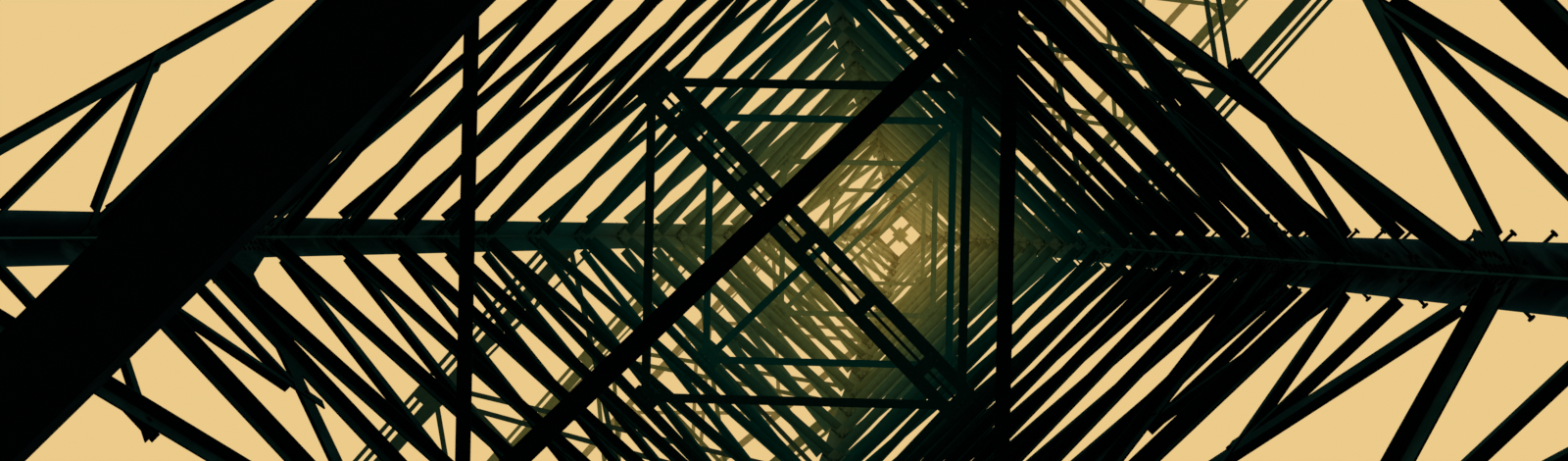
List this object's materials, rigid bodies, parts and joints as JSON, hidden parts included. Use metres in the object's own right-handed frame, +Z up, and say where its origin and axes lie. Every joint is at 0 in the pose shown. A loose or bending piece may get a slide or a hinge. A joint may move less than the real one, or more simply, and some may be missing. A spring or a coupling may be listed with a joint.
{
  "type": "lattice transmission pylon, half-size scale model",
  "caption": "Square tapered lattice tower of bolted angles on footings, with plan frames, X-braced faces, blunt box crossarms in tiers and a small earth-wire peak.",
  "frame": {"origin": "on the ground, at the centre of the four footings", "axes": "+Z up, crossarms along X, the line that the tower carries runs along Y"},
  "size_m": [8.1222, 4.8344, 28.1402],
  "materials": {
    "leg_steel": "weathered dark green paint over galvanised angle",
    "brace_steel": "weathered dark green paint over galvanised angle",
    "frame_steel": "weathered dark green paint over galvanised angle",
    "arm_steel": "weathered green paint over galvanised angle",
    "peak_steel": "pale weathered paint",
    "concrete": "cast concrete, board-marked and weathered"
  },
  "bodies": {
    "root": {"crossarm_east_low": "arm_steel", "crossarm_east_mid": "arm_steel", "crossarm_east_top": "arm_steel", "crossarm_west_low": "arm_steel", "crossarm_west_mid": "arm_steel", "crossarm_west_top": "arm_steel", "face_east_base": "brace_steel", "face_east_lower": "brace_steel", "face_east_middle": "brace_steel", "face_east_top": "brace_steel", "face_east_upper": "brace_steel", "face_north_base": "brace_steel", "face_north_lower": "brace_steel", "face_north_middle": "brace_steel", "face_north_top": "brace_steel", "face_north_upper": "brace_steel", "face_south_base": "brace_steel", "face_south_lower": "brace_steel", "face_south_middle": "brace_steel", "face_south_top": "brace_steel", "face_south_upper": "brace_steel", "face_west_base": "brace_steel", "face_west_lower": "brace_steel", "face_west_middle": "brace_steel", "face_west_top": "brace_steel", "face_west_upper": "brace_steel", "footing_northeast": "concrete", "footing_northwest": "concrete", "footing_southeast": "concrete", "footing_southwest": "concrete", "frame_belt": "frame_steel", "frame_double_tie": "frame_steel", "frame_low_arms": "frame_steel", "frame_mid_arms": "frame_steel", "frame_top_arms": "frame_steel", "leg_northeast_lower": "leg_steel", "leg_northeast_upper": "leg_steel", "leg_northwest_lower": "leg_steel", "leg_northwest_upper": "leg_steel", "leg_southeast_lower": "leg_steel", "leg_southeast_upper": "leg_steel", "leg_southwest_lower": "leg_steel", "leg_southwest_upper": "leg_steel", "peak": "peak_steel", "tie_lower": "frame_steel"}
  },
  "joints": []
}
